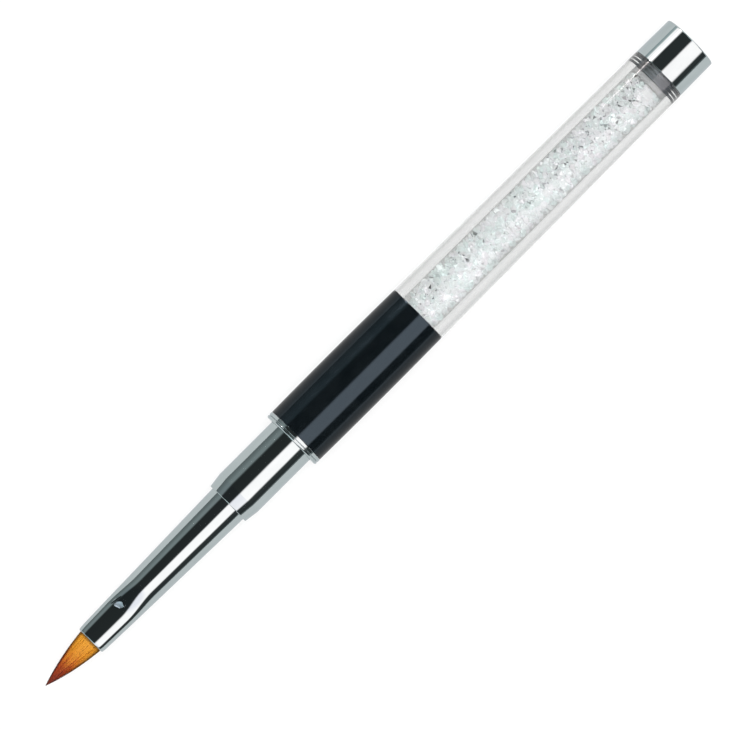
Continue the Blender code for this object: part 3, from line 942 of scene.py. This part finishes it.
# What a reflection sees round the brush, by angle from overhead: + leans to -Y, 1 is the softbox.
FRONT_BANDS = [
    (-90, 0.10),
    (-82, 0.11),
    (-74, 0.125),
    (-62, 0.165),
    (-52, 0.165),
    (-47, 0.06),
    (-43, 0.016),
    (-2, 0.018),
    (3, 0.03),
    (9, 0.98),
    (13, 1.04),
    (51, 1.04),
    (57, 0.03),
    (82, 0.02),
    (88, 0.12),
]
# The same beside the tail, where a second, narrow softbox with a hot middle stands on the +Y side.
TAIL_BANDS = [
    (-90, 0.24),
    (-79, 0.30),
    (-75, 1.0),
    (-63, 1.0),
    (-61.5, 8.5),
    (-58.5, 8.5),
    (-57, 1.0),
    (-53, 1.0),
    (-48, 0.022),
    (-1, 0.022),
    (5, 1.0),
    (57, 1.0),
    (63, 0.03),
    (82, 0.02),
    (88, 0.12),
]
# The same for reflections that run mostly along the brush, towards either end of the room.
END_BANDS = [
    (-90, 0.42),
    (-76, 0.38),
    (-56, 0.40),
    (-50, 0.10),
    (-34, 0.10),
    (-28, 0.46),
    (2, 0.52),
    (10, 0.90),
    (40, 0.90),
    (48, 0.16),
    (58, 0.05),
    (76, 0.05),
    (84, 0.30),
    (89, 0.40),
]


class World:
    """Short ways to build the world's node tree."""

    def __init__(self):
        self.world = bpy.data.worlds.new("studio")
        self.world.use_nodes = True
        self.world.cycles.sampling_method = "NONE"
        bpy.context.scene.world = self.world
        self.nodes, self.links = self.world.node_tree.nodes, self.world.node_tree.links
        self.nodes.clear()

    def add(self, kind, *values, **settings):
        """The first output of a node with these inputs, in order, and these settings."""
        node = self.nodes.new(kind)
        for name, value in settings.items():
            setattr(node, name, value)
        for socket, value in zip(node.inputs, values):
            if isinstance(value, bpy.types.NodeSocket):
                self.links.new(value, socket)
            else:
                socket.default_value = value
        return node.outputs[0]

    def maths(self, operation, *values):
        return self.add("ShaderNodeMath", *values, operation=operation)

    def step(self, value, low, high):
        """0 below low, 1 above high, and a straight ramp between them."""
        share = self.maths("DIVIDE", self.maths("SUBTRACT", value, low), high - low)
        return self.maths("MINIMUM", self.maths("MAXIMUM", share, 0.0), 1.0)

    def bands(self, lean, stops):
        """Brightness by angle from overhead, from (degrees, level) stops."""
        turn = self.maths("ADD", self.maths("DIVIDE", lean, 2.0 * math.pi), 0.5)
        colour = self.add("ShaderNodeValToRGB", turn)
        elements = colour.node.color_ramp.elements
        while len(elements) < len(stops):
            elements.new(0.5)
        for element, (degrees, level) in zip(elements, stops):
            element.position = degrees / 360.0 + 0.5
            tint = SOFTBOX_TINT if level > SOFTBOX_LEVEL else WALL_TINT
            element.color = (*(level * part for part in tint), 1.0)
        return colour

    def light(self, colour, strength):
        return self.add("ShaderNodeBackground", colour, strength)

    def mix(self, factor, first, second):
        return self.add("ShaderNodeMixShader", factor, first, second)


def reflected_room(made, x, y, z):
    """What reflections see: softboxes, dark flags and grey walls, as in a product studio."""
    lean = made.maths("ARCTAN2", made.maths("MULTIPLY", y, -1.0), z)
    front = made.bands(lean, FRONT_BANDS)
    tail = made.bands(lean, TAIL_BANDS)
    beside = made.add("ShaderNodeMixRGB", made.step(x, 0.095, 0.106), front, tail)

    # The room is a little dimmer towards the tip's end.
    tipward = made.step(made.maths("MULTIPLY", x, -1.0), 0.16, 0.27)
    dimmed = (0.80, 0.82, 0.88, 1.0)
    faded = made.add("ShaderNodeMixRGB", tipward, beside, dimmed, blend_type="MULTIPLY")
    ends = made.step(made.maths("ABSOLUTE", x), 0.44, 0.60)
    return made.add("ShaderNodeMixRGB", ends, faded, made.bands(lean, END_BANDS))


def room_through_glass(made, place, y, above):
    """Through clear pieces the room is a pale field with brighter and darker patches."""
    patches = made.nodes.new("ShaderNodeTexNoise")
    patches.inputs["Scale"].default_value = 3.5
    patches.inputs["Detail"].default_value = 2.0
    made.links.new(place, patches.inputs["Vector"])
    contrast = made.step(patches.outputs["Fac"], 0.38, 0.62)
    strength = made.maths("ADD", 1.0, made.maths("MULTIPLY", above, made.maths("ADD", 1.1, contrast)))
    bright_side, dull_side = (1.07, 1.055, 1.10, 1.0), (0.80, 0.825, 0.80, 1.0)
    cast = made.add("ShaderNodeMixRGB", made.step(y, -0.7, 0.7), bright_side, dull_side)
    return made.light(cast, strength)


def soft_dome(made, above):
    """Diffuse light, mostly from straight above, so that the shadows stay close to the brush."""
    peak = made.maths("POWER", above, 14.0)
    strength = made.maths("ADD", 0.34, made.maths("MULTIPLY", peak, 7.4))
    return made.light(WHITE, strength)


def make_world():
    """White to the camera, with a room of its own for each kind of light that falls on the brush."""
    made = World()
    place = made.nodes.new("ShaderNodeTexCoord").outputs["Generated"]
    split = made.nodes.new("ShaderNodeSeparateXYZ")
    made.links.new(place, split.inputs["Vector"])
    x, y, z = split.outputs
    above = made.maths("MAXIMUM", z, 0.0)
    backdrop = made.light(WHITE, 1.1)
    mirrored = made.light(reflected_room(made, x, y, z), 2.4)

    rays = made.nodes.new("ShaderNodeLightPath")
    seen = made.mix(rays.outputs["Is Camera Ray"], soft_dome(made, above), backdrop)
    glossy = made.mix(rays.outputs["Is Glossy Ray"], seen, mirrored)
    through = room_through_glass(made, place, y, above)
    final = made.mix(rays.outputs["Is Transmission Ray"], glossy, through)
    output = made.nodes.new("ShaderNodeOutputWorld")
    made.links.new(final, output.inputs["Surface"])


def set_colour():
    """Plain colours, and enough bounces for light to pass through the tube and the stones."""
    scene = bpy.context.scene
    scene.view_settings.view_transform = "Standard"
    scene.view_settings.look = "None"
    scene.cycles.max_bounces = 24
    scene.cycles.diffuse_bounces = 6
    scene.cycles.glossy_bounces = 10
    scene.cycles.transmission_bounces = 20


def paint_hidden_nodes(finishes):
    """CAD nodes that stay as they are inside the brush get the finished materials."""
    hidden = {
        "hair_root": "sable_hair",
        "binding_thread": "binding_thread",
        "root_glue": "set_resin",
        "ferrule_core": "core_alloy",
        "sleeve_adhesive": "set_resin",
        "tube_front_plug": "gloss_black",
    }
    for node, finish in hidden.items():
        for material_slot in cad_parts[node].material_slots:
            material_slot.material = finishes[finish]


def build():
    make_camera()
    set_colour()
    make_world()
    make_floor()
    finishes = {
        "bright_plate": bright_plate(),
        "dull_plate": dull_plate(),
        "core_alloy": core_alloy(),
        "gloss_black": gloss_black(),
        "clear_acrylic": clear_acrylic(),
        "cut_stones": cut_stones(),
        "set_resin": set_resin(),
        "binding_thread": binding_thread(),
        "sable_hair": sable_hair(),
    }
    make_ferrule(finishes["bright_plate"])
    make_collar(finishes["bright_plate"])
    make_ring(finishes["bright_plate"])
    make_sleeve(finishes["gloss_black"])
    make_tube(finishes["clear_acrylic"])
    make_stones(finishes["cut_stones"])
    make_plug_adhesive(finishes["set_resin"])
    make_end_plug(finishes["dull_plate"])
    make_cap(finishes["bright_plate"])
    make_hair(finishes["sable_hair"])
    make_tuft_heart(finishes["sable_hair"])
    paint_hidden_nodes(finishes)


build()
